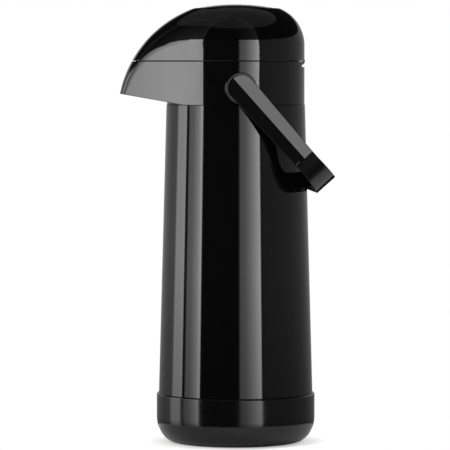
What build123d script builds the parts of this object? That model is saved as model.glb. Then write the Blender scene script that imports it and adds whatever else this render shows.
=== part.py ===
from build123d import *
import os
from math import asin, atan2, cos, pi, radians, sin, sqrt, tan

# Glass-lined pump airpot: base cup, tapered body, collar with beak, hinged lid, push button, bail.
# Millimetres. +Z is up, the origin is the centre of the foot, the spout points along -X.

# Clearances
FIT = 0.1            # plug-in fits between pieces that do not move
RUN = 0.08           # radial clearance of pins in their bores
SOFT_GAP = 0.3       # between soft pieces and what they press on
MOVE_GAP = 0.3       # between plastic pieces that slide past each other
SEAM_GAP = 0.4       # between the lid and the collar
BAIL_GAP = 0.5       # between the pivot boss and the arm
OVER = 1.0           # how far a cutting body reaches past what it cuts

# Base cup
BASE_R = 62.5
BASE_TOP = 38.8
BASE_WALL = 2.8
BASE_RIM_ROUND = 1.0
BASE_FOOT_R = 47.0
BASE_CORNER_H = 20.0
BASE_FOOT_W = 5.0
BASE_RECESS = 3.0
BASE_FLOOR = 2.5
BASE_HUB_R = 14.0

# Body shell
BASE_LIP = 1.7       # how far the cup's rim stands proud of the body
BODY_TOP_R = 54.7
BODY_H = 227.9
BODY_WALL = 2.0
BODY_SKIRT = 16.0    # how far its foot reaches into the cup

# Vacuum flask
FLASK_AIR = 2.7
FLASK_NECK_R = 29.0
FLASK_DROP = 4.7      # its lip lies below the body's top
FLASK_GLASS = 1.6
FLASK_VACUUM = 3.4
FLASK_LIP_H = 4.0
FLASK_LIP_ROUND = 1.2
FLASK_SHOULDER_H = 40.0    # lip to where the bulb turns in
FLASK_NECK_H = 22.0        # lip to where the shoulder meets the neck
FLASK_BOTTOM_ROUND = 34.0
FLASK_SHOULDER_ROUND = 22.0
FLASK_NECK_ROUND = 8.0
FLASK_TIP_R = 4.0
FLASK_TIP_END_R = 1.0
FLASK_TIP_H = 5.0
SPACER_R = 5.0
SPACER_COUNT = 3
CUSHION_H = 8.0
CUSHION_R = 40.0
CUSHION_RISE = 6.0
GASKET_H = 2.5

# Head: one outer form, split at the seam into collar and lid
HEAD_STEP = 0.4             # the head's radius is smaller than the body's top by this
HEAD_WALL = 2.2
COLLAR_H = 34.3            # body top to seam
LEDGE_W = 1.4               # ledge inside the collar that closes the seam to the eye
LEDGE_H = 2.0
SHOULDER_R = 31.4          # rounding of the lid's shoulder in side view
SHOULDER_RISE = 12.4       # that rounding starts above the seam
ROOF_R = 90.8              # arc of the beak's back in side view
ROOF_X = -2.5
ROUND_TO = 18.29           # the back's slope where it meets the shoulder
TIP_HALF_W = 6.88          # half the width between the beak's side walls at the tip
TIP_ROUND = 8.5            # rounding between the beak's side and back at the tip
ROUND_FROM = 80.0          # the back's slope where that rounding starts to grow
ROUND_POWER = 1.35
LOW_LEVELS = 7             # level sections below the shoulder, and from there to the top
HIGH_LEVELS = 7
TIP_RISE = 8.5             # lower corner of the tip above the body's top
BEAK_SLOPE = 10.0          # lower edge of the beak off the horizontal
BEAK_RECESS = 6.0          # its floor lies above that edge
BEAK_FLOOR = 2.0
BEAK_REAR_INSET = 9.3      # rear end of the recess under the beak, inside the collar's round

# Collar
COLLAR_FLOOR = 2.2
SEAT_LAND = 4.8            # the flask's lip reaches this far beyond the collar's hole
SPIGOT_H = 8.0
SPIGOT_WALL = 2.2
SEAT_W = 6.8               # width of the ring that presses on the neck gasket

# Stopper and water way
STOPPER_DEPTH = 22.0
NECK_GAP = 1.6             # between the stopper and the glass, bridged by its seal
FLANGE_R = 30.0
FLANGE_H = 3.5
SEAL_H = 5.0
TUBE_R = 4.5
TUBE_BORE_R = 3.0
TUBE_X = -10.0
TUBE_FOOT_GAP = 6.0        # above the glass bottom, on the tube's axis
ELBOW_R = 6.5
PIPE_DROP = 13.0           # its axis lies below the seam
ELBOW_REACH = 18.0
SOCKET_DEPTH = 8.0
SPOUT_INSET = 15.5         # behind the beak's tip
SPOUT_R = 6.0
SPOUT_BORE_R = 3.2
SPOUT_TIP = 2.0            # the nozzle ends this far above the beak's lower edge
SPOUT_SEAL_W = 2.4
SPOUT_SEAL_H = 2.0
AIR_X = 10.0
AIR_STUB_R = 8.5
AIR_BORE_R = 3.0
AIR_SEAL_H = 4.0
AIR_SEAL_BORE_R = 5.4
VALVE_R = 4.6
VALVE_T = 0.8

# Lid
HOLE_R = 34.0
SLEEVE_WALL = 2.0
HOLE_RIM = 0.94            # the lid's top ends this far outside the button's hole
SLEEVE_H = 12.4
PLATE_T = 2.3
LID_SCREW_R = 1.5
LID_SCREW_HEAD_R = 3.0
LID_SCREW_HEAD_H = 1.7
LID_SCREW_DEPTH = 10.0
SCREW_TIP_GAP = 1.0
LID_BOSS_R = 3.6
LID_BOSS_REAR = (30.0, 33.0)
LID_BOSS_FRONT = (-52.0, 14.0)

# Hinge
HINGE_INSET = 3.7          # inside the collar's rear
KNUCKLE_R = 3.4
HINGE_PIN_R = 1.5
LID_KNUCKLE_W = 8.6
HINGE_W = 18.0
KNUCKLE_GAP = 0.4
HINGE_POCKET_W = 39.0
HINGE_POCKET_H = 4.5
POCKET_WALL = 1.5
WEB_H = 8.0
WEB_INSET = 0.6            # the webs stay inside the knuckles by this

# Bellows and spring
BELLOWS_GAP = 1.5          # inside the button's skirt
BELLOWS_FOLD = 6.0
BELLOWS_WALL = 1.0
BELLOWS_FOLDS = 5
SPRING_R = 17.0
SPRING_WIRE_R = 0.9
SPRING_TURNS = 5

# Button
BUTTON_RISE = 3.4
BUTTON_SINK = 0.2          # its edge lies below the lid's top
BUTTON_WALL = 2.2
BUTTON_EDGE_ROUND = 0.9
FLANGE_W = 1.5
BUTTON_FLANGE_H = 2.2
BUTTON_PLATE_DEPTH = 4.2   # below the button's edge
BUTTON_PLATE_T = 2.0
BUTTON_SCREW_R = 1.1
BUTTON_SCREW_GAP = 3.4     # outside the spring
BUTTON_SCREW_COUNT = 3
BUTTON_BOSS_R = 3.0
INTAKE_BORE_R = 3.0

# Bail
PIVOT_RISE = 13.3          # above the body's top
BAIL_ANGLE = 48.3          # below the horizontal at rest
BOSS_R = 12.1
BOSS_PROUD = 4.0           # outside the collar
BOSS_DEPTH = 4.3           # inside the collar's outer face
ARM_T = 5.2
ARM_END_R = 10.3
ARM_NECK_W = 17.0
ARM_NECK_X = 78.0
GRIP_W = 18.7
BAIL_REACH = 101.3
BAIL_CORNER_R = 22.0
RIDGE_DROP = 2.0           # the arm's facets fall by this from the ridge to the edge
RIDGE_END = 73.0
PIVOT_PIN_R = 5.0
PIVOT_HEAD_R = 8.0
PIVOT_HEAD_T = 2.0
PIVOT_COVER = 1.7          # plastic left over the pin's end in the arm

# Levels and radii that follow from these
BODY_BOTTOM_R = BASE_R - BASE_LIP
HEAD_R = BODY_TOP_R - HEAD_STEP
FLASK_R = BODY_TOP_R - BODY_WALL - FLASK_AIR
BODY_TOP = BASE_TOP + BODY_H
FLASK_TOP = BODY_TOP - FLASK_DROP
SEAM = BODY_TOP + COLLAR_H
SHOULDER_Z = SEAM + SHOULDER_RISE
ROOF_Z = SHOULDER_Z - (ROOF_R - SHOULDER_R) * cos(radians(ROUND_TO))
TIP_Z = BODY_TOP + TIP_RISE
TIP_X = ROOF_X - sqrt(ROOF_R**2 - (TIP_Z - ROOF_Z) ** 2)
HEAD_TOP = SHOULDER_Z + sqrt(SHOULDER_R**2 - (SHOULDER_R - HEAD_R + HOLE_R + HOLE_RIM) ** 2)
SLEEVE_BOTTOM = HEAD_TOP - SLEEVE_H
BUTTON_EDGE = HEAD_TOP - BUTTON_SINK
BUTTON_PLATE_TOP = BUTTON_EDGE - BUTTON_PLATE_DEPTH
BUTTON_SCREW_RING = SPRING_R + BUTTON_SCREW_GAP
PIPE_Z = SEAM - PIPE_DROP
PIVOT_Z = BODY_TOP + PIVOT_RISE
SPOUT_X = TIP_X + SPOUT_INSET
BEAK_REAR_X = BEAK_REAR_INSET - HEAD_R
HINGE_X = HEAD_R - HINGE_INSET
BOSS_END = HEAD_R + BOSS_PROUD
BOSS_START = HEAD_R - BOSS_DEPTH
COLLAR_HOLE_R = FLASK_NECK_R - SEAT_LAND
SKIRT_R = BASE_R - BASE_WALL - FIT
FLOOR_TOP = BASE_RECESS + BASE_FLOOR
FLASK_BOTTOM = FLOOR_TOP + CUSHION_H
LIP_Z = FLASK_TOP - FLASK_LIP_H
GLASS_STEP = FLASK_GLASS + FLASK_VACUUM
NECK_BORE_R = FLASK_NECK_R - GLASS_STEP - FLASK_GLASS
COLLAR_TOP = SEAM - SEAM_GAP / 2
LID_BOTTOM = SEAM + SEAM_GAP / 2
DECK = BODY_TOP + COLLAR_FLOOR
SEAT_Z = FLASK_TOP + GASKET_H
PLUG_BOTTOM = FLASK_TOP - STOPPER_DEPTH
FLANGE_TOP = DECK + FLANGE_H
PLATE_BOTTOM = LID_BOTTOM + FIT
PLATE_TOP = PLATE_BOTTOM + PLATE_T
BUTTON_R = HOLE_R - MOVE_GAP
BUTTON_PLATE_BOTTOM = BUTTON_PLATE_TOP - BUTTON_PLATE_T
SKIRT_BORE_R = BUTTON_R - BUTTON_WALL
BELLOWS_R = SKIRT_BORE_R - BELLOWS_GAP
BAIL_OUT = BOSS_END + BAIL_GAP + ARM_T
PIN_END = BAIL_OUT - PIVOT_COVER
BEAK_ANGLE = asin(HEAD_R / sqrt(TIP_X**2 + TIP_HALF_W**2)) - atan2(TIP_HALF_W, -TIP_X)
WALL_NORMAL = Vector(-sin(BEAK_ANGLE), cos(BEAK_ANGLE), 0)
STANDING = (Align.CENTER, Align.CENTER, Align.MIN)


def turned(*points):
    """Solid of revolution about Z from corner points (radius, height)."""
    return revolve(make_face(Plane.XZ * Polyline(*points, close=True)), Axis.Z)


def turned_outline(edges):
    """Solid of revolution about Z from edges drawn as (radius, height)."""
    return revolve(make_face([Plane.XZ * edge for edge in edges]), Axis.Z)


def ring(outer_r, inner_r, bottom, top, x=0.0, y=0.0):
    """Upright ring, or a disc where inner_r is 0."""
    blank = Cylinder(outer_r, top - bottom, align=STANDING)
    if inner_r:
        blank -= Cylinder(inner_r, top - bottom, align=STANDING)
    return Pos(x, y, bottom) * blank


def rod_x(radius, x0, x1, z):
    """Round bar along X."""
    return Pos((x0 + x1) / 2, 0, z) * Rot(0, 90, 0) * Cylinder(radius, abs(x1 - x0))


def rod_y(radius, y0, y1, x, z):
    """Round bar along Y."""
    return Pos(x, (y0 + y1) / 2, z) * Rot(90, 0, 0) * Cylinder(radius, abs(y1 - y0))


def block(x0, x1, y0, y1, z0, z1):
    """Box between two corners."""
    centre = Pos((x0 + x1) / 2, (y0 + y1) / 2, (z0 + z1) / 2)
    return centre * Box(x1 - x0, y1 - y0, z1 - z0)


def side_prism(points, half_width):
    """Prism across Y over corner points (x, z)."""
    return extrude(make_face(Plane.XZ * Polyline(*points, close=True)), half_width, both=True)


# Base and body


def base_cup():
    inner = BASE_R - BASE_WALL
    corner_w = BASE_R - BASE_FOOT_R
    top_left = (BASE_R - BASE_RIM_ROUND, BASE_TOP)
    corner_centre = (BASE_FOOT_R, BASE_CORNER_H)
    outline = [
        Line((0, 0), (BASE_FOOT_R, 0)),
        EllipticalCenterArc(corner_centre, corner_w, BASE_CORNER_H, start_angle=270, arc_size=90),
        Line((BASE_R, BASE_CORNER_H), (BASE_R, BASE_TOP - BASE_RIM_ROUND)),
        RadiusArc((BASE_R, BASE_TOP - BASE_RIM_ROUND), top_left, -BASE_RIM_ROUND),
        Line(top_left, (0, BASE_TOP)),
        Line((0, BASE_TOP), (0, 0)),
    ]
    cup = turned_outline(outline)
    ledge = BASE_TOP - BODY_SKIRT
    cup -= ring(inner, 0, ledge, BASE_TOP)
    cavity_r = SKIRT_R - BODY_WALL
    cup -= turned(
        (0, FLOOR_TOP),
        (BASE_FOOT_R - BASE_WALL, FLOOR_TOP),
        (cavity_r, ledge - BASE_WALL),
        (cavity_r, ledge),
        (0, ledge),
    )
    cup -= ring(BASE_FOOT_R - BASE_FOOT_W, BASE_HUB_R, 0, BASE_RECESS)
    return cup


def body_shell():
    foot = BASE_TOP - BODY_SKIRT
    step = BASE_TOP + BODY_WALL
    return turned(
        (SKIRT_R - BODY_WALL, foot),
        (SKIRT_R, foot),
        (SKIRT_R, BASE_TOP),
        (BODY_BOTTOM_R, BASE_TOP),
        (BODY_TOP_R, BODY_TOP),
        (BODY_TOP_R - BODY_WALL, BODY_TOP),
        (BODY_BOTTOM_R - BODY_WALL, step),
        (SKIRT_R - BODY_WALL, BASE_TOP),
    )


# Vacuum flask


def flask_blank(inset, top):
    """Solid form of the flask, drawn in by inset all over, with a round bottom and shoulder."""
    bulb = FLASK_R - inset
    neck = FLASK_NECK_R - inset
    bottom = FLASK_BOTTOM + inset
    rise = FLASK_SHOULDER_H - FLASK_NECK_H
    lean = Vector(FLASK_R - FLASK_NECK_R, rise).get_angle(Vector(0, 1))
    drop = inset * tan(radians(lean) / 2)
    rounds = (FLASK_BOTTOM_ROUND - inset, FLASK_SHOULDER_ROUND - inset, FLASK_NECK_ROUND + inset)
    outline = FilletPolyline(
        (0, bottom),
        (bulb, bottom),
        (bulb, FLASK_TOP - FLASK_SHOULDER_H - drop),
        (neck, FLASK_TOP - FLASK_NECK_H - drop),
        (neck, top),
        (0, top),
        radius=(0, *rounds, 0, 0),
        close=True,
    )
    return revolve(make_face(Plane.XZ * outline), Axis.Z)


def flask_outer_wall():
    wall = flask_blank(0, LIP_Z) - flask_blank(FLASK_GLASS, LIP_Z)
    top = FLASK_BOTTOM + FLASK_GLASS / 2
    bottom = FLASK_BOTTOM - FLASK_TIP_H
    return wall + turned((0, bottom), (FLASK_TIP_END_R, bottom), (FLASK_TIP_R, top), (0, top))


def flask_inner_wall():
    wall = flask_blank(GLASS_STEP, LIP_Z) - flask_blank(GLASS_STEP + FLASK_GLASS, LIP_Z)
    lip = ring(FLASK_NECK_R, NECK_BORE_R, LIP_Z, FLASK_TOP)
    lip = fillet(lip.edges().group_by(Axis.Z)[-1], FLASK_LIP_ROUND)
    return wall + lip


def flask_spacers():
    """Pads between the glass walls, just below the shoulder."""
    z = FLASK_TOP - FLASK_SHOULDER_H - FLASK_SHOULDER_ROUND - SPACER_R
    gap = flask_blank(FLASK_GLASS, LIP_Z) - flask_blank(GLASS_STEP, LIP_Z)
    pads = []
    for index in range(SPACER_COUNT):
        bar = Rot(0, 0, index * 360 / SPACER_COUNT) * rod_x(SPACER_R, 0, FLASK_R, z)
        pads.append((gap & bar).solids()[0])
    return Compound(children=pads)


def flask_cushion():
    blank = ring(CUSHION_R, FLASK_TIP_R + SOFT_GAP, FLOOR_TOP, FLASK_BOTTOM + CUSHION_RISE)
    return blank - flask_blank(-SOFT_GAP, FLASK_TOP)


def neck_gasket():
    return ring(FLASK_NECK_R, FLASK_NECK_R - SEAT_W + FIT, FLASK_TOP, SEAT_Z)


# Head form


def edge_round(angle):
    """Rounding between the beak's side and back, where the back's normal is this far off vertical."""
    share = max(ROUND_FROM - angle, 0) / (ROUND_FROM - ROUND_TO)
    return TIP_ROUND + (SHOULDER_R - TIP_ROUND) * share**ROUND_POWER


def rounding_centre(angle):
    """Centre of the ball that rolls along the edge and touches both the back and the side wall."""
    radius = edge_round(angle)
    x = ROOF_X - (ROOF_R - radius) * sin(radians(angle))
    y = (HEAD_R - radius - x * WALL_NORMAL.X) / WALL_NORMAL.Y
    return Vector(x, y, ROOF_Z + (ROOF_R - radius) * cos(radians(angle)))


def rounding_point(angle, share, inset):
    """Point on the rounding: share 0 lies on the back, share 1 on the side wall."""
    back_normal = Vector(-sin(radians(angle)), 0, cos(radians(angle)))
    spread = radians(back_normal.get_angle(WALL_NORMAL))
    mixed = back_normal * sin((1 - share) * spread) + WALL_NORMAL * sin(share * spread)
    return rounding_centre(angle) + mixed * ((edge_round(angle) - inset) / sin(spread))


def solve(value_at, low, high):
    """Where a falling function crosses zero."""
    for _ in range(50):
        middle = (low + high) / 2
        if value_at(middle) > 0:
            low = middle
        else:
            high = middle
    return (low + high) / 2


def rounding_point_at(z, share, inset):
    """Point of the rounding at one level."""
    angle = solve(lambda angle: rounding_point(angle, share, inset).Z - z, ROUND_TO, 89)
    return rounding_point(angle, share, inset)


def head_section(z, inset):
    """Level section of the head: a circle, two straight walls tangent to it and a round nose."""
    above = max(z - SHOULDER_Z, 0)
    rear_r = HEAD_R - SHOULDER_R + sqrt((SHOULDER_R - inset) ** 2 - above**2)
    front_x = ROOF_X - sqrt((ROOF_R - inset) ** 2 - (z - ROOF_Z) ** 2)
    if z > SHOULDER_Z:
        centre = rounding_centre(ROUND_TO)
        wall_end = centre + WALL_NORMAL * (rear_r - HEAD_R + SHOULDER_R)
        top_share = solve(lambda share: rounding_point(ROUND_TO, share, inset).Z - z, 0, 1)
    else:
        wall_end = rounding_point_at(z, 1, inset)
        top_share = 1
    tangent = WALL_NORMAL * rear_r
    along = Vector(-WALL_NORMAL.Y, WALL_NORMAL.X)
    wall_end = Vector(wall_end.X, wall_end.Y)
    nose = Vector(front_x, 0)
    middle = rounding_point_at(z, top_share / 2, inset)
    # the nose is a curve that leaves the wall straight on and passes through the rounding's middle
    pull = (Vector(middle.X, middle.Y) * 8 - wall_end * 4 - nose * 4) * (1 / 3)
    near_reach = pull.X / along.X
    near = wall_end + along * near_reach
    far = nose + Vector(0, pull.Y - near_reach * along.Y)
    edges = [
        ThreePointArc(mirrored(tangent), (rear_r, 0), tangent),
        Line(tangent, wall_end),
        Bezier(wall_end, near, far, nose),
        Bezier(nose, mirrored(far), mirrored(near), mirrored(wall_end)),
        Line(mirrored(wall_end), mirrored(tangent)),
    ]
    return Pos(0, 0, z) * Face(Wire(edges))


def mirrored(point):
    """The same point on the other side of the middle plane."""
    return Vector(point.X, -point.Y)


def head_form(inset, top):
    """The head's outer form, drawn in by inset, from below the collar up to top."""
    low = BODY_TOP - SPIGOT_H / 2
    levels = [low + (SHOULDER_Z - low) * step / LOW_LEVELS for step in range(LOW_LEVELS)]
    for step in range(HIGH_LEVELS + 1):
        # the levels draw together towards the top, where the shoulder turns flat
        levels.append(SHOULDER_Z + (top - SHOULDER_Z) * sin(step / HIGH_LEVELS * pi / 2))
    return loft([head_section(z, inset) for z in levels])


HEAD_OUTER = head_form(0, HEAD_TOP)
HEAD_INNER = head_form(HEAD_WALL, HEAD_TOP - HEAD_WALL)


def beak_edge_z(x):
    """Height of the beak's lower edge."""
    return TIP_Z - (x - TIP_X) * tan(radians(BEAK_SLOPE))


def under_beak(rise, rear_x):
    """All that lies lower than rise above the beak's lower edge, in front of rear_x."""
    front_x = -2 * HEAD_R
    low = BODY_TOP - SPIGOT_H
    front_z = beak_edge_z(front_x) + rise
    rear_z = beak_edge_z(rear_x) + rise
    return side_prism([(front_x, front_z), (rear_x, rear_z), (rear_x, low), (front_x, low)], HEAD_R)


# Collar


def collar_shell():
    wide = HEAD_R + OVER
    slab = block(-2 * HEAD_R, wide, -wide, wide, BODY_TOP, COLLAR_TOP)
    column = ring(HEAD_R, 0, BODY_TOP - OVER, COLLAR_TOP + OVER)
    shell = (HEAD_OUTER & slab) - (under_beak(0, 0) - column)
    floor_prism = under_beak(BEAK_RECESS + BEAK_FLOOR, BEAK_REAR_X + HEAD_WALL)
    inner_column = ring(HEAD_R - HEAD_WALL, 0, BODY_TOP - OVER, COLLAR_TOP + OVER)
    above_deck = block(-2 * HEAD_R, 2 * HEAD_R, -HEAD_R, HEAD_R, DECK, COLLAR_TOP)
    shell -= (HEAD_INNER & above_deck) - (floor_prism - inner_column)
    shell -= (HEAD_INNER & under_beak(BEAK_RECESS, BEAK_REAR_X)) - column
    spigot_r = BODY_TOP_R - BODY_WALL - FIT
    shell += ring(spigot_r, spigot_r - SPIGOT_WALL, BODY_TOP - SPIGOT_H, BODY_TOP)
    shell += ring(FLASK_NECK_R + FIT, COLLAR_HOLE_R, SEAT_Z, BODY_TOP)
    shell -= ring(COLLAR_HOLE_R, 0, SEAT_Z, DECK)
    shell -= ring(SPOUT_R + FIT, 0, BODY_TOP, COLLAR_TOP, SPOUT_X)
    shell += seam_ledge()
    shell += hinge_pocket()
    half = HINGE_POCKET_W / 2
    shell -= block(HINGE_X - KNUCKLE_R, wide, -half, half, COLLAR_TOP - HINGE_POCKET_H, COLLAR_TOP)
    shell += collar_knuckles()
    for side in (-1, 1):
        shell += rod_y(BOSS_R, side * BOSS_START, side * BOSS_END, 0, PIVOT_Z)
        shell -= rod_y(PIVOT_PIN_R + RUN, side * BOSS_START, side * BOSS_END, 0, PIVOT_Z)
    return shell


def seam_ledge():
    """Ledge inside the collar's wall. Its lip stands up behind the seam, inside the lid."""
    rear_x = HINGE_X - KNUCKLE_R
    inside = head_form(HEAD_WALL + LEDGE_W, HEAD_TOP - HEAD_WALL - LEDGE_W)
    low = block(-2 * HEAD_R, rear_x, -HEAD_R, HEAD_R, COLLAR_TOP - LEDGE_H, COLLAR_TOP)
    lip = block(-2 * HEAD_R, rear_x, -HEAD_R, HEAD_R, COLLAR_TOP, LID_BOTTOM)
    reach = head_form(HEAD_WALL - FIT, HEAD_TOP - HEAD_WALL)
    lip_reach = head_form(HEAD_WALL + 2 * FIT, HEAD_TOP - HEAD_WALL)
    return ((reach & low) - inside) + ((lip_reach & lip) - inside)


def hinge_pocket():
    """Shelf and back wall behind the hinge, which close the collar off there."""
    back_x = HINGE_X - KNUCKLE_R - POCKET_WALL - KNUCKLE_GAP
    half = HINGE_POCKET_W / 2 + POCKET_WALL
    shelf_top = COLLAR_TOP - HINGE_POCKET_H
    shelf = block(back_x, HEAD_R, -half, half, shelf_top - POCKET_WALL, shelf_top)
    back = block(back_x, back_x + POCKET_WALL, -half, half, shelf_top - POCKET_WALL, COLLAR_TOP)
    return (shelf + back) & ring(HEAD_R - HEAD_WALL / 2, 0, BODY_TOP, COLLAR_TOP)


def collar_knuckles():
    parts = []
    for side in (-1, 1):
        near = side * (LID_KNUCKLE_W / 2 + KNUCKLE_GAP)
        far = side * HINGE_W / 2
        low_y, high_y = sorted((near, far))
        knuckle = rod_y(KNUCKLE_R, near, far, HINGE_X, SEAM)
        foot_z = COLLAR_TOP - HINGE_POCKET_H - POCKET_WALL
        web = block(HINGE_X - KNUCKLE_R + WEB_INSET, HINGE_X, low_y, high_y, foot_z, SEAM)
        parts.append(knuckle + web - rod_y(HINGE_PIN_R, near, far, HINGE_X, SEAM))
    return parts


def hinge_pin():
    return rod_y(HINGE_PIN_R, -HINGE_W / 2, HINGE_W / 2, HINGE_X, SEAM)


# Stopper and water way


def stopper_body():
    plug_r = NECK_BORE_R - NECK_GAP
    body = ring(plug_r, 0, PLUG_BOTTOM, DECK) + ring(FLANGE_R, 0, DECK, FLANGE_TOP)
    body += ring(AIR_STUB_R, 0, FLANGE_TOP, PLATE_BOTTOM - SOFT_GAP - AIR_SEAL_H, AIR_X)
    body -= ring(AIR_BORE_R, 0, PLUG_BOTTOM, PLATE_BOTTOM, AIR_X)
    body -= ring(TUBE_R + FIT, 0, PLUG_BOTTOM, FLANGE_TOP, TUBE_X)
    return body - stopper_seal_ring(FIT)


def stopper_seal_ring(slack):
    """Ring around the plug, half sunk into its groove."""
    middle = (PLUG_BOTTOM + LIP_Z) / 2
    groove_r = NECK_BORE_R - 2 * NECK_GAP - slack / 2
    half = (SEAL_H + slack) / 2
    return ring(NECK_BORE_R, groove_r, middle - half, middle + half)


def stopper_seal():
    return stopper_seal_ring(0)


def dip_tube():
    foot = FLASK_BOTTOM + GLASS_STEP + FLASK_GLASS + TUBE_FOOT_GAP
    return ring(TUBE_R, TUBE_BORE_R, foot, PIPE_Z - ELBOW_R, TUBE_X)


def delivery_elbow():
    end_x = TUBE_X - ELBOW_REACH
    elbow = ring(ELBOW_R, 0, FLANGE_TOP, PIPE_Z, TUBE_X) + rod_x(ELBOW_R, TUBE_X, end_x, PIPE_Z)
    elbow += Pos(TUBE_X, 0, PIPE_Z) * Sphere(ELBOW_R)
    elbow -= ring(TUBE_R + FIT, 0, FLANGE_TOP, PIPE_Z - ELBOW_R, TUBE_X)
    elbow -= ring(TUBE_BORE_R, 0, FLANGE_TOP, PIPE_Z, TUBE_X)
    elbow -= rod_x(TUBE_BORE_R, TUBE_X, end_x, PIPE_Z)
    return elbow - rod_x(TUBE_R + FIT, end_x + SOCKET_DEPTH, end_x, PIPE_Z)


def delivery_pipe():
    start = TUBE_X - ELBOW_REACH + SOCKET_DEPTH
    end = SPOUT_X + SPOUT_R
    return rod_x(TUBE_R, start, end, PIPE_Z) - rod_x(TUBE_BORE_R, start, end, PIPE_Z)


def spout_nozzle():
    bottom = beak_edge_z(SPOUT_X) + SPOUT_TIP
    socket_end = SPOUT_X + SPOUT_R + SOCKET_DEPTH
    nozzle = ring(SPOUT_R, 0, bottom, PIPE_Z, SPOUT_X) + rod_x(SPOUT_R, SPOUT_X, socket_end, PIPE_Z)
    nozzle += Pos(SPOUT_X, 0, PIPE_Z) * Sphere(SPOUT_R)
    nozzle -= ring(SPOUT_BORE_R, 0, bottom, PIPE_Z, SPOUT_X)
    nozzle -= rod_x(TUBE_BORE_R, SPOUT_X, socket_end, PIPE_Z)
    return nozzle - rod_x(TUBE_R + FIT, SPOUT_X + SPOUT_R, socket_end, PIPE_Z)


def nozzle_seal():
    """Ring on the beak's floor around the nozzle, below its socket."""
    top = beak_edge_z(SPOUT_X) + BEAK_RECESS + BEAK_FLOOR + SPOUT_SEAL_H
    blank = ring(SPOUT_R + SPOUT_SEAL_W, SPOUT_R + FIT, BODY_TOP, top, SPOUT_X)
    return blank - under_beak(BEAK_RECESS + BEAK_FLOOR, 0) - rod_x(SPOUT_R + FIT, SPOUT_X, 0, PIPE_Z)


def air_seal():
    top = PLATE_BOTTOM - SOFT_GAP
    return ring(AIR_STUB_R, AIR_SEAL_BORE_R, top - AIR_SEAL_H, top, AIR_X)


# Lid


def boss_places():
    return [(x, side * y) for x, y in (LID_BOSS_REAR, LID_BOSS_FRONT) for side in (-1, 1)]


def lid_shell():
    wide = HEAD_R + OVER
    slab = block(-2 * HEAD_R, wide, -wide, wide, LID_BOTTOM, HEAD_TOP + OVER)
    outer = HEAD_OUTER & slab
    shell = outer - HEAD_INNER
    sleeve = ring(HOLE_R + SLEEVE_WALL, 0, SLEEVE_BOTTOM, HEAD_TOP)
    bosses = [ring(LID_BOSS_R, 0, PLATE_TOP, HEAD_TOP, x, y) for x, y in boss_places()]
    shell = shell + ((sleeve + bosses) & outer)
    shell -= ring(HOLE_R, 0, LID_BOTTOM, HEAD_TOP + OVER)
    for x, y in boss_places():
        shell -= ring(LID_SCREW_R, 0, PLATE_TOP, PLATE_TOP + LID_SCREW_DEPTH, x, y)
    half = LID_KNUCKLE_W / 2
    for side in (-1, 1):
        far = side * (HINGE_W / 2 + KNUCKLE_GAP)
        shell -= rod_y(KNUCKLE_R + KNUCKLE_GAP, side * half, far, HINGE_X, SEAM)
    web_half = KNUCKLE_R - WEB_INSET
    web = block(HINGE_X - web_half, HINGE_X + web_half, -half, half, SEAM, SEAM + WEB_H) & outer
    shell += web + rod_y(KNUCKLE_R, -half, half, HINGE_X, SEAM)
    return shell - rod_y(HINGE_PIN_R + RUN, -half, half, HINGE_X, SEAM)


def lid_base_plate():
    rear_x = HINGE_X - KNUCKLE_R - KNUCKLE_GAP
    slab = block(-2 * HEAD_R, rear_x, -HEAD_R, HEAD_R, PLATE_BOTTOM, PLATE_TOP)
    plate = head_form(HEAD_WALL + FIT, HEAD_TOP - HEAD_WALL) & slab
    plate -= ring(AIR_BORE_R, 0, PLATE_BOTTOM, PLATE_TOP, AIR_X)
    for x, y in boss_places():
        plate -= ring(LID_SCREW_R + FIT, 0, PLATE_BOTTOM, PLATE_TOP, x, y)
    return plate


def lid_screws():
    screws = []
    for x, y in boss_places():
        head = ring(LID_SCREW_HEAD_R, 0, PLATE_BOTTOM - LID_SCREW_HEAD_H, PLATE_BOTTOM, x, y)
        tip = PLATE_TOP + LID_SCREW_DEPTH - SCREW_TIP_GAP
        screws.append(head + ring(LID_SCREW_R, 0, PLATE_BOTTOM, tip, x, y))
    return Compound(children=screws)


def bellows():
    """Folded tube between the lid's plate and the button's plate."""
    height = BUTTON_PLATE_BOTTOM - PLATE_TOP
    inner = BELLOWS_R - BELLOWS_FOLD
    pitch = height / BELLOWS_FOLDS
    outside = []
    for fold in range(BELLOWS_FOLDS):
        outside.append((inner, PLATE_TOP + fold * pitch))
        outside.append((BELLOWS_R, PLATE_TOP + (fold + 0.5) * pitch))
    outside.append((inner, PLATE_TOP + height))
    inside = [(r - BELLOWS_WALL, z) for r, z in reversed(outside)]
    return turned(*outside, *inside)


def return_spring():
    height = BUTTON_PLATE_BOTTOM - PLATE_TOP - 2 * SPRING_WIRE_R - 2 * FIT
    pitch = height / SPRING_TURNS
    path = Helix(pitch=pitch, height=height, radius=SPRING_R)
    section = Plane(path @ 0, z_dir=path % 0) * Circle(SPRING_WIRE_R)
    return Pos(0, 0, PLATE_TOP + SPRING_WIRE_R + FIT) * sweep(section, path=path, is_frenet=True)


def air_valve():
    return ring(VALVE_R, 0, PLATE_BOTTOM - VALVE_T, PLATE_BOTTOM, AIR_X)


# Button


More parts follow.
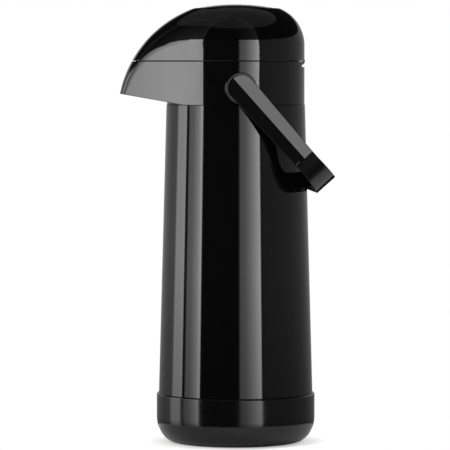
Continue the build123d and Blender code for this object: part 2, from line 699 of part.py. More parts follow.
def push_button():
    bottom = SLEEVE_BOTTOM - MOVE_GAP - BUTTON_FLANGE_H
    edge = BUTTON_R - BUTTON_EDGE_ROUND
    crown = BUTTON_EDGE + BUTTON_RISE
    outline = [
        Line((0, bottom), (BUTTON_R + FLANGE_W, bottom)),
        Line((BUTTON_R + FLANGE_W, bottom), (BUTTON_R + FLANGE_W, bottom + BUTTON_FLANGE_H)),
        Line((BUTTON_R + FLANGE_W, bottom + BUTTON_FLANGE_H), (BUTTON_R, bottom + BUTTON_FLANGE_H)),
        Line((BUTTON_R, bottom + BUTTON_FLANGE_H), (BUTTON_R, BUTTON_EDGE - BUTTON_EDGE_ROUND)),
        RadiusArc((BUTTON_R, BUTTON_EDGE - BUTTON_EDGE_ROUND), (edge, BUTTON_EDGE), -BUTTON_EDGE_ROUND),
        RadiusArc((edge, BUTTON_EDGE), (0, crown), -(edge**2 + BUTTON_RISE**2) / (2 * BUTTON_RISE)),
        Line((0, crown), (0, bottom)),
    ]
    button = turned_outline(outline)
    button -= ring(SKIRT_BORE_R, 0, bottom, BUTTON_PLATE_TOP + BUTTON_WALL)
    for x, y in button_screw_places():
        button += ring(BUTTON_BOSS_R, 0, BUTTON_PLATE_TOP, BUTTON_PLATE_TOP + BUTTON_WALL, x, y)
        button -= ring(BUTTON_SCREW_R, 0, BUTTON_PLATE_TOP, BUTTON_PLATE_TOP + 2 * BUTTON_WALL, x, y)
    return button


def button_screw_places():
    step = 2 * pi / BUTTON_SCREW_COUNT
    turns = [step * (index + 0.5) for index in range(BUTTON_SCREW_COUNT)]
    return [(BUTTON_SCREW_RING * cos(turn), BUTTON_SCREW_RING * sin(turn)) for turn in turns]


def button_plate():
    plate = ring(SKIRT_BORE_R - FIT, INTAKE_BORE_R, BUTTON_PLATE_BOTTOM, BUTTON_PLATE_TOP)
    for x, y in button_screw_places():
        plate -= ring(BUTTON_SCREW_R + FIT, 0, BUTTON_PLATE_BOTTOM, BUTTON_PLATE_TOP, x, y)
    return plate


def button_screws():
    screws = []
    head_bottom = BUTTON_PLATE_BOTTOM - BUTTON_SCREW_R
    for x, y in button_screw_places():
        head = ring(2 * BUTTON_SCREW_R, 0, head_bottom, BUTTON_PLATE_BOTTOM, x, y)
        shank = ring(BUTTON_SCREW_R, 0, BUTTON_PLATE_BOTTOM, BUTTON_PLATE_TOP + BUTTON_WALL, x, y)
        screws.append(head + shank)
    return Compound(children=screws)


def intake_valve():
    return ring(VALVE_R, 0, BUTTON_PLATE_BOTTOM - VALVE_T, BUTTON_PLATE_BOTTOM)


# Bail


def bail_place():
    """From the bail's own frame, with its arms along +X, to its place at rest."""
    return Pos(0, 0, PIVOT_Z) * Rot(0, BAIL_ANGLE, 0)


def handle_bail():
    back = -2 * ARM_END_R
    outer = fillet_frame(back, BAIL_REACH, BAIL_OUT, BAIL_CORNER_R)
    inner = fillet_frame(back, BAIL_REACH - ARM_T, BAIL_OUT - ARM_T, BAIL_CORNER_R - ARM_T)
    frame = extrude(outer - inner, ARM_END_R + OVER, both=True)
    bail = frame & extrude(bail_side(), BAIL_OUT + OVER, both=True)
    for side in (-1, 1):
        bail -= arm_facets(side)
        bail -= rod_y(PIVOT_PIN_R, side * (BAIL_OUT - ARM_T), side * PIN_END, 0, 0)
    return bail_place() * bail


def fillet_frame(x0, x1, half_width, corner_r):
    """Plan of the bail, open at the pivot end, with two round corners."""
    corners = [(x0, -half_width), (x1, -half_width), (x1, half_width), (x0, half_width)]
    return make_face(FilletPolyline(*corners, radius=(0, corner_r, corner_r, 0), close=True))


def bail_side():
    """Side view of the bail: round pivot end, waist and wider grip."""
    neck = ARM_NECK_W / 2
    grip = GRIP_W / 2
    upper = [(0, ARM_END_R), (ARM_NECK_X, neck), (BAIL_REACH, grip)]
    lower = [(x, -z) for x, z in reversed(upper)]
    strap = make_face(Plane.XZ * Polyline(*upper, *lower, close=True))
    return strap + Plane.XZ * Circle(ARM_END_R)


def arm_facets(side):
    """What the two facets of an arm's outer face take off its corner."""
    edge = ARM_END_R + OVER
    fall = RIDGE_DROP * edge / (ARM_NECK_W / 2)
    ridge = side * BAIL_OUT
    cuts = []
    for half in (-1, 1):
        low_corner = (ridge - side * fall, half * edge)
        high_corner = (ridge + side * OVER, half * edge)
        wedge = make_face(Plane.YZ * Polyline((ridge, 0), low_corner, high_corner, close=True))
        cuts.append(extrude(Pos(-2 * ARM_END_R, 0, 0) * wedge, RIDGE_END + 2 * ARM_END_R, dir=(1, 0, 0)))
    return cuts


def pivot_pins():
    pins = []
    head_end = BOSS_START - MOVE_GAP
    for side in (-1, 1):
        shaft = rod_y(PIVOT_PIN_R, side * head_end, side * PIN_END, 0, PIVOT_Z)
        head = rod_y(PIVOT_HEAD_R, side * (head_end - PIVOT_HEAD_T), side * head_end, 0, PIVOT_Z)
        pins.append(shaft + head)
    return Compound(children=pins)


NODES = [
    base_cup, body_shell, flask_cushion, flask_outer_wall, flask_inner_wall, flask_spacers, neck_gasket,
    collar_shell, stopper_body, stopper_seal, dip_tube, delivery_elbow, delivery_pipe, spout_nozzle,
    nozzle_seal, air_seal, hinge_pin, lid_shell, lid_base_plate, lid_screws, bellows, return_spring,
    air_valve, push_button, button_plate, button_screws, intake_valve, handle_bail, pivot_pins,
]

os.makedirs("parts", exist_ok=True)
for make_node in NODES:
    export_step(make_node(), f"parts/{make_node.__name__}.step")
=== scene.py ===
# %% [markdown]
# # A pump airpot in gloss black
# This lesson dresses an airpot: a glass-lined flask in a moulded plastic case, with a beaked
# head, a pump button and a carrying bail. Its solids are already built at their real size, so
# the work here is what the eye reads: clean reflections on polished plastic, a grained bail, and
# the soft white pieces that show when the lid is opened.

from math import atan, cos, degrees, radians, sin

import bpy
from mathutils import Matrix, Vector


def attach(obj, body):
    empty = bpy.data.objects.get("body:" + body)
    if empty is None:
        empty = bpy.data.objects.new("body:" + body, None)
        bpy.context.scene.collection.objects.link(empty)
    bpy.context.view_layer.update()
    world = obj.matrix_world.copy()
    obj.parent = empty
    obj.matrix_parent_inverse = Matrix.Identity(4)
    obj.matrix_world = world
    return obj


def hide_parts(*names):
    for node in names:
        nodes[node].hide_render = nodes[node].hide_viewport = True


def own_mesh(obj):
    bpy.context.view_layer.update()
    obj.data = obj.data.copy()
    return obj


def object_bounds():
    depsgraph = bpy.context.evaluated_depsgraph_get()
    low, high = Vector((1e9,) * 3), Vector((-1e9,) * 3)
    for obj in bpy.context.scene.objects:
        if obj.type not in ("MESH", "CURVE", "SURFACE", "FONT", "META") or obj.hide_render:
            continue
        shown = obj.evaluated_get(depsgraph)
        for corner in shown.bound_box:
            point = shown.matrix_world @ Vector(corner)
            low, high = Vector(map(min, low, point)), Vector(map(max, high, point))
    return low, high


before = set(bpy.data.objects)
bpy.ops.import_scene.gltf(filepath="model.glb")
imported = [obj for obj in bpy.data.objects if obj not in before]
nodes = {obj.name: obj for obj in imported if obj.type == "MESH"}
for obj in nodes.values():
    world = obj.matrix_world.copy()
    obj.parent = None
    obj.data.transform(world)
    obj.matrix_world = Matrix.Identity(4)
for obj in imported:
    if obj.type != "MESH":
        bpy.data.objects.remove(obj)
solid_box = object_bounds()
low, high = (Vector(corner) for corner in solid_box)
print("airpot", [round(side * 1000, 1) for side in high - low], "mm in", len(nodes), "pieces")

# %% [markdown]
# ## The camera
# The picture was taken from far away with a long lens, level with the seam of the lid, so that
# the case shows almost no perspective. The camera stands a little towards the spout. A focal
# length in picture widths gives the lens: 3400 pixels across a frame 450 pixels wide.

# %% Camera
FRAME_PX = 450
FOCAL_PX = 3400
AXIS_PX = 10.7  # the airpot's axis lies this far right of the picture's middle
CAMERA_AZ = radians(-4.4)
CAMERA_DISTANCE = 2.686
CAMERA_HEIGHT = 0.300
CAMERA_DIP = radians(2.74)

outward = Vector((sin(CAMERA_AZ), -cos(CAMERA_AZ), 0))
sideways = Vector((cos(CAMERA_AZ), sin(CAMERA_AZ), 0))
yaw = atan(AXIS_PX / FOCAL_PX)
ahead = -outward * cos(yaw) - sideways * sin(yaw)
aim = ahead * cos(CAMERA_DIP) - Vector((0, 0, sin(CAMERA_DIP)))

bpy.ops.object.select_all(action="DESELECT")
bpy.ops.object.camera_add(
    location=outward * CAMERA_DISTANCE + Vector((0, 0, CAMERA_HEIGHT)),
    rotation=aim.to_track_quat("-Z", "Y").to_euler(),
)
camera = bpy.context.object
camera.name = "long_lens"
camera.data.sensor_width = 36
camera.data.lens = camera.data.sensor_width * FOCAL_PX / FRAME_PX
camera.data.clip_end = 20
bpy.context.scene.camera = camera
bpy.context.scene.view_settings.view_transform = "Standard"
print("lens", camera.data.lens, "mm at", [round(value, 3) for value in camera.location])

# %% [markdown]
# ## Helpers for materials
# Colours are picked on a screen, where they are sRGB hex values, but the renderer adds up light
# in linear numbers. One function turns the first into the second. A second one adds a node, sets
# its values and links its inputs, so that each material below reads like its list of nodes.

# %% Colour and node helpers
def linear(hex_colour):
    """Linear red, green, blue and alpha of an sRGB colour such as "#1a1a1b"."""
    channels = [int(hex_colour[place:place + 2], 16) / 255 for place in (1, 3, 5)]
    return tuple(
        channel / 12.92 if channel <= 0.04045 else ((channel + 0.055) / 1.055) ** 2.4
        for channel in channels
    ) + (1.0,)


def add(tree, kind, settings=None, links=None):
    """Adds one node; settings name its properties or sockets, links name its input sockets."""
    node = tree.nodes.new(kind)
    for name, value in (settings or {}).items():
        if isinstance(name, str) and hasattr(node, name):
            setattr(node, name, value)
        else:
            node.inputs[name].default_value = value
    for name, source in (links or {}).items():
        tree.links.new(source, node.inputs[name])
    return node


def blank(name):
    """A material with an empty node tree."""
    material = bpy.data.materials.new(name)
    material.use_nodes = True
    material.node_tree.nodes.clear()
    return material


print("white is", linear("#ffffff"), "and the case's black", linear("#0a0a0b"))

# %% [markdown]
# ## The table and the white room
# The airpot stands on a small pale table top in a white room. The top only has to reach as far
# as the soft shadow of the foot. The room is the world's own white: the camera sees it at full
# strength, and so does a shiny surface, but the light that falls on dull surfaces is weaker, so
# that pale pieces keep their colour. The table is painted, with a little glow of its own that
# brings its lit parts up to the room's white and grows to the rim, where the shadow fades out.
# Only the camera sees that glow: mirrored in the cup's foot it would look like a lamp.

# %% Table and room
TABLE_R = 0.115
TABLE_T = 0.010
TABLE_DROP = 0.0002  # the top lies this far under the foot
TABLE_GLOW = 0.42  # near the foot
RIM_GLOW = 1.0
FOOT_R = high.y - 0.004
ROOM_LIGHT = 0.50


def mirror_or_camera(tree):
    """1 for rays that come from the camera or from a shiny or clear surface, else 0."""
    path = add(tree, "ShaderNodeLightPath")
    shiny = add(tree, "ShaderNodeMath", {"operation": "MAXIMUM"},
                {0: path.outputs["Is Glossy Ray"], 1: path.outputs["Is Transmission Ray"]})
    seen = add(tree, "ShaderNodeMath", {"operation": "MAXIMUM"},
               {0: path.outputs["Is Camera Ray"], 1: shiny.outputs[0]})
    return seen.outputs[0]


bpy.ops.object.select_all(action="DESELECT")
bpy.ops.mesh.primitive_cylinder_add(
    vertices=128, radius=TABLE_R, depth=TABLE_T, location=(0, 0, -TABLE_T / 2 - TABLE_DROP)
)
table = bpy.context.object
table.name = "table_top"

painted = blank("painted_table")
tree = painted.node_tree
place = add(tree, "ShaderNodeTexCoord")
from_axis = add(tree, "ShaderNodeVectorMath", {"operation": "LENGTH"},
                {0: place.outputs["Object"]})
fade = add(tree, "ShaderNodeMapRange",
           {"From Min": FOOT_R, "From Max": TABLE_R, "To Min": TABLE_GLOW, "To Max": RIM_GLOW},
           {"Value": from_axis.outputs["Value"]})
path = add(tree, "ShaderNodeLightPath")
lift = add(tree, "ShaderNodeMath", {"operation": "MULTIPLY"},
           {0: fade.outputs[0], 1: path.outputs["Is Camera Ray"]})
glow = add(tree, "ShaderNodeEmission", {"Color": linear("#ffffff")}, {"Strength": lift.outputs[0]})
paint = add(tree, "ShaderNodeBsdfDiffuse", {"Color": linear("#eeeeed")})
both = add(tree, "ShaderNodeAddShader", {}, {0: glow.outputs[0], 1: paint.outputs[0]})
add(tree, "ShaderNodeOutputMaterial", {}, {"Surface": both.outputs[0]})
table.data.materials.append(painted)

room = bpy.data.worlds.new("white_room")
room.use_nodes = True
room.node_tree.nodes.clear()
tree = room.node_tree
strength = add(tree, "ShaderNodeMapRange", {"To Min": ROOM_LIGHT, "To Max": 1.0},
               {"Value": mirror_or_camera(tree)})
white = add(tree, "ShaderNodeBackground", {"Color": linear("#ffffff")},
            {"Strength": strength.outputs[0]})
add(tree, "ShaderNodeOutputWorld", {}, {"Surface": white.outputs[0]})
bpy.context.scene.world = room
print("table of", TABLE_R, "m in a white room that lights dull things at", ROOM_LIGHT)

# %% [markdown]
# ## The wall of lights that the case mirrors
# Polished black plastic has almost no colour of its own: what is seen is the studio in it. A
# tall light makes an upright streak, and where nothing stands the case stays black. So a wall of
# cloth is bent round the table, and its lights are given as a list: how bright the cloth is at
# each angle from the camera, with left as minus. A lamp behind the cloth is brightest at the edge
# of its frame and falls off across it, and that is why a streak has one sharp and one soft side.
# The camera and dull surfaces don't see the wall, so it can be set from the streaks in the
# photograph alone.

# %% Wall of lights
WALL_R = 1.3
WALL_LOW, WALL_HIGH = -0.7, 1.7
WALL_PEAK = 10.0  # brightness of a full stop on the ramps
WALL_LIGHTS = [
    (-180, 0.45), (-150, 0.42), (-125, 0.48), (-110, 0.7), (-106, 2.9), (-96, 3.4), (-87, 4.3),
    (-86, 0.1), (-81, 0.1), (-80, 1.6), (-72, 1.9), (-66, 3.0), (-60, 4.4), (-56, 6.8),
    (-54.6, 6.6), (-53.9, 0.02), (5, 0.02), (7, 1.3), (15, 1.7), (23, 3.0), (30, 4.6),
    (38.4, 7.0), (39.2, 0.1), (44, 0.22), (90, 0.27), (120, 0.3), (150, 0.36), (180, 0.45),
]
WALL_HEIGHTS = [(-0.7, 0.1), (-0.20, 0.35), (0.0, 0.75), (0.12, 1.0), (0.62, 1.0), (0.66, 0.04),
                (1.7, 0.02)]
CEILING_LIGHT = 0.16
SLIVER = 0.001  # as high as the wall's end faces may differ from its ends


def ramp_of(tree, pairs, start, end, source):
    """A grey ramp with one stop for each (place, brightness) pair; places run start to end."""
    spread = add(tree, "ShaderNodeMapRange", {"From Min": start, "From Max": end},
                 {"Value": source})
    ramp = add(tree, "ShaderNodeValToRGB", {}, {"Fac": spread.outputs[0]})
    stops = ramp.color_ramp.elements
    while len(stops) < len(pairs):
        stops.new(0.5)
    for stop, (place, brightness) in zip(stops, pairs):
        stop.position = (place - start) / (end - start)
    for stop, (place, brightness) in zip(stops, pairs):
        stop.color = (brightness, brightness, brightness, 1)
    return ramp.outputs["Color"]


def pick_faces(piece, wanted):
    """Enters edit mode with only the faces selected for which wanted(face) is true."""
    bpy.ops.object.mode_set(mode="EDIT")
    bpy.ops.mesh.select_mode(type="FACE")
    bpy.ops.mesh.select_all(action="DESELECT")
    bpy.ops.object.mode_set(mode="OBJECT")
    for face in piece.data.polygons:
        face.select = wanted(face)
    bpy.ops.object.mode_set(mode="EDIT")


bpy.ops.object.select_all(action="DESELECT")
bpy.ops.mesh.primitive_cylinder_add(
    vertices=360, radius=WALL_R, depth=WALL_HIGH - WALL_LOW, end_fill_type="TRIFAN",
    location=(0, 0, (WALL_LOW + WALL_HIGH) / 2),
)
wall = bpy.context.object
wall.name = "wall_of_lights"
bpy.ops.object.transform_apply(location=True, rotation=False, scale=False)
pick_faces(wall, lambda face: face.center.z < WALL_LOW + SLIVER)
bpy.ops.mesh.delete(type="FACE")
bpy.ops.object.mode_set(mode="OBJECT")
wall.visible_camera = False
wall.visible_diffuse = False
wall.visible_transmission = False
wall.visible_shadow = False

cloth = blank("lit_cloth")
tree = cloth.node_tree
place = add(tree, "ShaderNodeTexCoord")
turned = add(tree, "ShaderNodeMapping", {"Rotation": (0, 0, -CAMERA_AZ)},
             {"Vector": place.outputs["Object"]})
split = add(tree, "ShaderNodeSeparateXYZ", {}, {"Vector": turned.outputs[0]})
nearness = add(tree, "ShaderNodeMath", {"operation": "MULTIPLY", 1: -1.0}, {0: split.outputs["Y"]})
angle = add(tree, "ShaderNodeMath", {"operation": "ARCTAN2"},
            {0: split.outputs["X"], 1: nearness.outputs[0]})
round_table = add(tree, "ShaderNodeMath", {"operation": "MULTIPLY", 1: degrees(1)},
                  {0: angle.outputs[0]})
lights = [(turn, light / WALL_PEAK) for turn, light in WALL_LIGHTS]
lit_round = ramp_of(tree, lights, -180, 180, round_table.outputs[0])
lit_up = ramp_of(tree, WALL_HEIGHTS, WALL_LOW, WALL_HIGH, split.outputs["Z"])
lit = add(tree, "ShaderNodeMath", {"operation": "MULTIPLY"}, {0: lit_round, 1: lit_up})
shine = add(tree, "ShaderNodeMath", {"operation": "MULTIPLY", 1: WALL_PEAK}, {0: lit.outputs[0]})
is_ceiling = add(tree, "ShaderNodeMath", {"operation": "GREATER_THAN", 1: WALL_HIGH - SLIVER},
                 {0: split.outputs["Z"]})
ceiling = add(tree, "ShaderNodeMath", {"operation": "MULTIPLY", 1: CEILING_LIGHT},
              {0: is_ceiling.outputs[0]})
total = add(tree, "ShaderNodeMath", {"operation": "ADD"},
            {0: shine.outputs[0], 1: ceiling.outputs[0]})
cloth_light = add(tree, "ShaderNodeEmission", {"Color": linear("#ffffff")},
                  {"Strength": total.outputs[0]})
add(tree, "ShaderNodeOutputMaterial", {}, {"Surface": cloth_light.outputs[0]})
wall.data.materials.append(cloth)
print("wall with", len(WALL_LIGHTS), "marks round and", len(WALL_HEIGHTS), "up")

# %% [markdown]
# ## Lamps for the dull pieces
# Two large soft lamps give dull pieces their shape, one high at the left front and one high at
# the right behind. The shiny case mirrors the wall instead, so the lamps don't show in it. They
# are set for a plain level: with the room's light they bring a white piece just under white.

# %% Lamps
LAMPS = {  # place, size in metres, watts
    "left_lamp": ((-1.1, -1.2, 1.3), 1.0, 15),
    "right_lamp": ((1.3, 0.6, 1.2), 1.0, 9),
}
LAMP_AIM = Vector((0, 0, 0.18))
for name, (spot, size, power) in LAMPS.items():
    bpy.ops.object.select_all(action="DESELECT")
    towards = LAMP_AIM - Vector(spot)
    bpy.ops.object.light_add(type="AREA", location=spot,
                             rotation=towards.to_track_quat("-Z", "Y").to_euler())
    lamp = bpy.context.object
    lamp.name = name
    lamp.data.shape = "DISK"
    lamp.data.size = size
    lamp.data.energy = power
    lamp.visible_glossy = False
    print(name, "at", spot, "with", power, "watts")

# %% [markdown]
# ## Polished plastic
# The case, collar, lid and button are ABS moulded against polished steel. Its black pigment
# swallows the light that enters, so the surface is a dark, clean mirror. Two small faults keep
# it from looking like glass: the mirror is faintly wavy, because the plastic shrinks unevenly as
# it cools, and its sheen changes a little where it has been wiped. No moulded edge is quite
# sharp either: a Bevel node rounds them in the shading alone, and since a rounded edge mirrors
# what lies above and below, it draws the dark line along the seam of the lid and the light lip on
# the cup.

# %% Gloss black ABS
MM = 0.001


def plastic(name, colour, deeper, rough, wave_mm, wave_depth_mm, grain_mm=0, grain_depth_mm=0,
            wipe_mm=18, edge_mm=0):
    """Moulded plastic: its colour drifts to a deeper one, its sheen and surface vary a little.

    rough is the least and most roughness. The other sizes are in mm: waves in the surface and
    their depth, pits of the grain and their depth, wiped patches, and the rounding of edges.
    """
    material = blank(name)
    tree = material.node_tree
    place = add(tree, "ShaderNodeTexCoord")
    wiped = add(tree, "ShaderNodeTexNoise",
                {"Scale": 1 / (wipe_mm * MM), "Detail": 3.0, "Roughness": 0.6},
                {"Vector": place.outputs["Object"]})
    sheen = add(tree, "ShaderNodeMapRange",
                {"From Min": 0.3, "From Max": 0.7, "To Min": rough[0], "To Max": rough[1]},
                {"Value": wiped.outputs["Fac"]})
    drift = add(tree, "ShaderNodeMix", {"data_type": "RGBA"}, {"Factor": wiped.outputs["Fac"]})
    drift.inputs[6].default_value = linear(colour)
    drift.inputs[7].default_value = linear(deeper)
    wave = add(tree, "ShaderNodeTexNoise",
               {"Scale": 1 / (wave_mm * MM), "Detail": 1.0}, {"Vector": place.outputs["Object"]})
    surface = add(tree, "ShaderNodeBump", {"Strength": 1.0, "Distance": wave_depth_mm * MM},
                  {"Height": wave.outputs["Fac"]})
    if grain_mm:
        pits = add(tree, "ShaderNodeTexVoronoi", {"Scale": 1 / (grain_mm * MM)},
                   {"Vector": place.outputs["Object"]})
        surface = add(tree, "ShaderNodeBump", {"Strength": 1.0, "Distance": grain_depth_mm * MM},
                      {"Height": pits.outputs["Distance"], "Normal": surface.outputs[0]})
    if edge_mm:
        edge = add(tree, "ShaderNodeBevel", {"samples": 8, "Radius": edge_mm * MM})
        tree.links.new(edge.outputs[0], surface.inputs["Normal"])
    shell = add(tree, "ShaderNodeBsdfPrincipled", {"IOR": 1.5},
                {"Base Color": drift.outputs[2], "Roughness": sheen.outputs[0],
                 "Normal": surface.outputs[0]})
    add(tree, "ShaderNodeOutputMaterial", {}, {"Surface": shell.outputs[0]})
    return material


# polished: streaks mirrored almost as sharply as in glass
polished_abs = plastic("polished_abs_black", "#09090a", "#060607", (0.035, 0.075), 34, 0.035,
                       edge_mm=0.7)
# moulded cup: the same streaks, softer at their sides
cup_abs = plastic("moulded_abs_cup_black", "#0c0c0d", "#08080a", (0.11, 0.16), 26, 0.030,
                  edge_mm=0.7)
# spark-eroded mould: the grained bail has a grey sheen and no sharp mirror image
satin_abs = plastic("eroded_abs_satin_black", "#0f0f10", "#0b0b0c", (0.17, 0.22), 26, 0.010,
                    0.45, 0.010)
print("black plastics ready")

# %% [markdown]
# ## Inner plastics, silicone and rubber
# The pieces that the lid hides are food-safe and mostly left their own colour: white silicone
# seals, milky polypropylene pipes and plates, and a bellows blown from softer polyethylene. They
# let light in a little way, so their shadows are soft.

# %% Inner plastics
SCATTER = 0.25


def soft_plastic(name, colour, deeper, rough, depth_mm, wave_mm=12, wave_depth_mm=0.02):
    """Pale plastic or silicone that lets light in: a moulded plastic with some scattering."""
    material = plastic(name, colour, deeper, rough, wave_mm, wave_depth_mm)
    shell = next(node for node in material.node_tree.nodes
                 if node.bl_idname == "ShaderNodeBsdfPrincipled")
    shell.inputs["Subsurface Weight"].default_value = SCATTER
    shell.inputs["Subsurface Radius"].default_value = (1.0, 0.95, 0.9)
    shell.inputs["Subsurface Scale"].default_value = depth_mm * MM
    return material


silicone = soft_plastic("moulded_silicone_white", "#e6e6e2", "#dbdbd6", (0.42, 0.55), 1.5)
polypropylene = soft_plastic("moulded_polypropylene_white", "#dedfdc", "#d3d4d0", (0.26, 0.36), 1.2)
blown_polyethylene = soft_plastic("blown_polyethylene_white", "#e0e0db", "#d0d1ca", (0.38, 0.5), 1.8)
rubber = plastic("moulded_rubber_black", "#1c1c1c", "#161616", (0.55, 0.72), 9, 0.03, 0.6, 0.01)
spacer_fibre = plastic("pressed_mineral_fibre", "#b9b4a6", "#a39d8e", (0.85, 0.95), 3, 0.12, 0.4, 0.05)
print("inner plastics ready")

# %% [markdown]
# ## Silvered glass
# The flask's two walls are blown soda-lime glass, coated with silver on the sides that face each
# other. From inside and outside alike the eye sees a mirror under a clear, slightly rippled
# coat, so it is made as metal with a clear coat.

# %% Silvered glass
silvered = blank("silvered_blown_glass")
tree = silvered.node_tree
place = add(tree, "ShaderNodeTexCoord")
ripple = add(tree, "ShaderNodeTexNoise", {"Scale": 1 / (22 * MM), "Detail": 2.0},
             {"Vector": place.outputs["Object"]})
cloudy = add(tree, "ShaderNodeMapRange", {"To Min": 0.06, "To Max": 0.16},
             {"Value": ripple.outputs["Fac"]})
tarnish = add(tree, "ShaderNodeMix", {"data_type": "RGBA"}, {"Factor": ripple.outputs["Fac"]})
tarnish.inputs[6].default_value = linear("#e4e4e2")
tarnish.inputs[7].default_value = linear("#cfcdc6")
surface = add(tree, "ShaderNodeBump", {"Strength": 1.0, "Distance": 0.08 * MM},
              {"Height": ripple.outputs["Fac"]})
glass = add(tree, "ShaderNodeBsdfPrincipled",
            {"Metallic": 1.0, "Coat Weight": 1.0, "Coat Roughness": 0.02},
            {"Base Color": tarnish.outputs[2], "Roughness": cloudy.outputs[0],
             "Normal": surface.outputs[0]})
add(tree, "ShaderNodeOutputMaterial", {}, {"Surface": glass.outputs[0]})
print("silvered glass ready")

# %% [markdown]
# ## Stainless steel
# The hinge pin and screws are drawn and turned stainless steel, and the spring is drawn wire.
# Drawing leaves fine lines along the wire and turning leaves them round a pin. They are finer
# than a picture can show, so they are drawn 0.3 mm apart, as a flutter in the sheen.

# %% Stainless steel
drawn_steel = blank("drawn_stainless_steel")
tree = drawn_steel.node_tree
place = add(tree, "ShaderNodeTexCoord")
lines = add(tree, "ShaderNodeTexNoise", {"Scale": 1 / (0.3 * MM), "Detail": 2.0},
            {"Vector": place.outputs["Object"]})
flutter = add(tree, "ShaderNodeMapRange", {"To Min": 0.22, "To Max": 0.38},
              {"Value": lines.outputs["Fac"]})
tint = add(tree, "ShaderNodeMix", {"data_type": "RGBA"}, {"Factor": lines.outputs["Fac"]})
tint.inputs[6].default_value = linear("#c9c8c6")
tint.inputs[7].default_value = linear("#b4b3b1")
surface = add(tree, "ShaderNodeBump", {"Strength": 1.0, "Distance": 0.003 * MM},
              {"Height": lines.outputs["Fac"]})
steel = add(tree, "ShaderNodeBsdfPrincipled", {"Metallic": 1.0},
            {"Base Color": tint.outputs[2], "Roughness": flutter.outputs[0],
             "Normal": surface.outputs[0]})
add(tree, "ShaderNodeOutputMaterial", {}, {"Surface": steel.outputs[0]})
print("steel ready")

# %% [markdown]
# ## Dress the pieces
# Each of the airpot's pieces now gets the material that it is really made of. Their meshes stay
# as they are: only the material slot changes.

# %% Dress the pieces
FINISHES = {
    polished_abs: ["body_shell", "collar_shell", "lid_shell", "push_button"],
    cup_abs: ["base_cup"],
    satin_abs: ["handle_bail", "pivot_pins"],
    rubber: ["flask_cushion"],
    silvered: ["flask_outer_wall", "flask_inner_wall"],
    spacer_fibre: ["flask_spacers"],
    silicone: ["neck_gasket", "stopper_seal", "nozzle_seal", "air_seal", "air_valve",
               "intake_valve"],
    polypropylene: ["stopper_body", "dip_tube", "delivery_elbow", "delivery_pipe",
                    "spout_nozzle", "lid_base_plate", "button_plate"],
    blown_polyethylene: ["bellows"],
    drawn_steel: ["hinge_pin", "lid_screws", "return_spring", "button_screws"],
}
for finish, names in FINISHES.items():
    for name in names:
        mesh = nodes[name].data
        mesh.materials.clear()
        mesh.materials.append(finish)
undressed = sorted(set(nodes) - {name for names in FINISHES.values() for name in names})
print("dressed", len(nodes) - len(undressed), "pieces, undressed", undressed)

# %% [markdown]
# ## The carrying bail
# The bail is one moulding: two flat arms with a ridge along the middle, and a thicker grip across
# their ends. A mould leaves no knife edges, and it is the small rounding on each edge that draws
# the bright lines round the arms. The solid's own mesh is sharp, so the bail is a copy of it:
# its loose triangles are merged, its flat faces made whole, and its sharp edges bevelled. Normals
# weighted by the size of each face then keep the flats flat, so that only the edges shine.

# %% Bail
EDGE_ROUND = 0.55 * MM
SAME_POINT = 0.001 * MM
FLAT_ENOUGH = radians(0.6)
EDGE_ANGLE = radians(22)


def merged_copy(node, name):
    """A copy of a solid's mesh, its loose triangles merged, left selected and active."""
    bpy.ops.object.select_all(action="DESELECT")
    piece = bpy.data.objects.new(name, nodes[node].data.copy())
    bpy.context.scene.collection.objects.link(piece)
    bpy.context.view_layer.objects.active = piece
    piece.select_set(True)
    bpy.ops.mesh.customdata_custom_splitnormals_clear()
    bpy.ops.object.mode_set(mode="EDIT")
    bpy.ops.mesh.select_all(action="SELECT")
    bpy.ops.mesh.remove_doubles(threshold=SAME_POINT)
    bpy.ops.mesh.normals_make_consistent(inside=False)
    bpy.ops.object.mode_set(mode="OBJECT")
    return piece


bail = merged_copy("handle_bail", "carrying_bail")
bpy.ops.object.mode_set(mode="EDIT")
bpy.ops.mesh.dissolve_limited(angle_limit=FLAT_ENOUGH)
bpy.ops.object.mode_set(mode="OBJECT")
rounding = bail.modifiers.new("mould_rounding", "BEVEL")
rounding.width = EDGE_ROUND
rounding.segments = 3
rounding.limit_method = "ANGLE"
rounding.angle_limit = EDGE_ANGLE
rounding.use_clamp_overlap = True
bpy.ops.object.modifier_apply(modifier=rounding.name)
bpy.ops.object.shade_smooth_by_angle(angle=radians(40))
evened = bail.modifiers.new("flats_stay_flat", "WEIGHTED_NORMAL")
evened.keep_sharp = True
evened.weight = 100
bpy.ops.object.modifier_apply(modifier=evened.name)
print("bail", len(bail.data.polygons), "faces after rounding")

# %% [markdown]
# ## The steps at the ends of the arms
# Where each arm meets the grip, the lower facet ends in a small tray with a raised rim, round at
# its corners. It is a block that is placed on the facet, rounded at its far corners, inset and
# pressed in. It is made once for the near arm and mirrored for the far one.

# %% Steps on the bail
ARM_SLOPE = radians(48.3)
PIVOT_HEIGHT = 280 * MM
FACET_SLOPE = atan(2.0 / 8.5)
TRAY = Vector((7.6, 2.0, 7.4)) * MM
TRAY_CORNER = 2.4 * MM
TRAY_RIM = 0.7 * MM
TRAY_WALL = 0.25 * MM
TRAY_DEPTH = 0.6 * MM
TRAY_EDGE = 0.2 * MM
TRAY_PLACE = (75.4 * MM, 61.9 * MM, -4.7 * MM)  # along the arm, out from the middle, across it


def on_arm(along, out, across):
    """A point of the near arm in the airpot's frame."""
    return Vector((along * cos(ARM_SLOPE) + across * sin(ARM_SLOPE), -out,
                   PIVOT_HEIGHT - along * sin(ARM_SLOPE) + across * cos(ARM_SLOPE)))


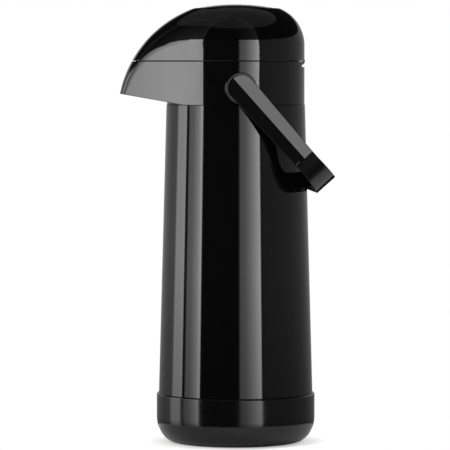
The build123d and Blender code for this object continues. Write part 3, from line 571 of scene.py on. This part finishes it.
trays = []
for side in (1, -1):
    bpy.ops.object.select_all(action="DESELECT")
    bpy.ops.mesh.primitive_cube_add(size=1, location=(0, 0, 0), scale=TRAY)
    tray = bpy.context.object
    bpy.ops.object.transform_apply(location=False, rotation=False, scale=True)
    bpy.ops.object.mode_set(mode="EDIT")
    bpy.ops.mesh.select_mode(type="EDGE")
    bpy.ops.mesh.select_all(action="DESELECT")
    bpy.ops.object.mode_set(mode="OBJECT")
    for edge in tray.data.edges:
        ends = [tray.data.vertices[index].co for index in edge.vertices]
        edge.select = all(end.x > 0 for end in ends) and abs(ends[0].y - ends[1].y) > MM
    bpy.ops.object.mode_set(mode="EDIT")
    bpy.ops.mesh.bevel(offset=TRAY_CORNER, segments=6)
    bpy.ops.object.mode_set(mode="OBJECT")
    pick_faces(tray, lambda face: face.normal.y < -0.9)
    bpy.ops.mesh.inset(thickness=TRAY_RIM, depth=0)
    bpy.ops.mesh.inset(thickness=TRAY_WALL, depth=-TRAY_DEPTH)
    bpy.ops.object.mode_set(mode="OBJECT")
    softened = tray.modifiers.new("mould_rounding", "BEVEL")
    softened.width = TRAY_EDGE
    softened.segments = 2
    bpy.ops.object.modifier_apply(modifier=softened.name)
    tray.rotation_euler = (-FACET_SLOPE, 0, 0)
    bpy.ops.object.transform_apply(location=False, rotation=True, scale=False)
    tray.rotation_euler = (0, ARM_SLOPE, 0)
    tray.location = on_arm(*TRAY_PLACE)
    bpy.ops.object.transform_apply(location=True, rotation=True, scale=False)
    if side < 0:
        tray.scale = (1, -1, 1)
        bpy.ops.object.transform_apply(location=False, rotation=False, scale=True)
        bpy.ops.object.mode_set(mode="EDIT")
        bpy.ops.mesh.select_all(action="SELECT")
        bpy.ops.mesh.normals_make_consistent(inside=False)
        bpy.ops.object.mode_set(mode="OBJECT")
    bpy.ops.object.shade_smooth_by_angle(angle=radians(30))
    trays.append(tray)

bpy.ops.object.select_all(action="DESELECT")
for piece in trays + [bail]:
    piece.select_set(True)
bpy.context.view_layer.objects.active = bail
bpy.ops.object.join()
bail.data.materials.clear()
bail.data.materials.append(satin_abs)
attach(bail, "bail")
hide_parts("handle_bail")
print("bail with its trays", len(bail.data.polygons), "faces")

# %% [markdown]
# ## A soft light for the bail alone
# The upper facets of the arms are light grey from end to end, and the grip is black beside them.
# Only a soft light high at the right front, where those facets look, does that. It is linked to
# the bail, because the polished case would mirror it as one more streak. The wall of lights is
# kept off the bail in the same way, so that the grip and the lower facets stay black.

# %% Bail light
FACET_LIGHT_AZ = radians(30) + CAMERA_AZ
FACET_LIGHT_RISE = radians(16)
FACET_LIGHT_FAR = 1.2
FACET_LIGHT_SIZE = 0.66
FACET_LIGHT_WATTS = 4.2
BAIL_HEIGHT = Vector((0, 0, 0.24))
BAIL_MIDDLE = Vector((0.03, 0, 0.24))

spot = Vector((sin(FACET_LIGHT_AZ) * cos(FACET_LIGHT_RISE),
               -cos(FACET_LIGHT_AZ) * cos(FACET_LIGHT_RISE),
               sin(FACET_LIGHT_RISE))) * FACET_LIGHT_FAR + BAIL_HEIGHT
bpy.ops.object.select_all(action="DESELECT")
bpy.ops.object.light_add(
    type="AREA", location=spot,
    rotation=(BAIL_MIDDLE - spot).to_track_quat("-Z", "Y").to_euler(),
)
facet_lamp = bpy.context.object
facet_lamp.name = "facet_lamp"
facet_lamp.data.shape = "DISK"
facet_lamp.data.size = FACET_LIGHT_SIZE
facet_lamp.data.energy = FACET_LIGHT_WATTS
only_bail = bpy.data.collections.new("lit_by_the_facet_lamp")
only_bail.objects.link(bail)
facet_lamp.light_linking.receiver_collection = only_bail

unlit_bail = bpy.data.collections.new("not_lit_by_the_wall")
unlit_bail.objects.link(bail)
unlit_bail.collection_objects[0].light_linking.link_state = "EXCLUDE"
wall.light_linking.receiver_collection = unlit_bail
print("facet lamp at", [round(value, 2) for value in spot])

# %% [markdown]
# ## Copies of the bellows and the spring
# A press on the button folds the bellows and closes the coils of the spring inside it. Both stand
# on the lid's plate. Here each is a copy of its solid with its loose triangles merged, shaded
# smooth and carried by the lid, and the solid itself is hidden.

# %% Bellows and spring
for node, name, slot in (("bellows", "blown_bellows", "bellows_plastic"),
                         ("return_spring", "coiled_return_spring", "steel")):
    piece = merged_copy(node, name)
    bpy.ops.object.shade_smooth_by_angle(angle=radians(30))
    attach(piece, "lid")
    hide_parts(node)
    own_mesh(piece)
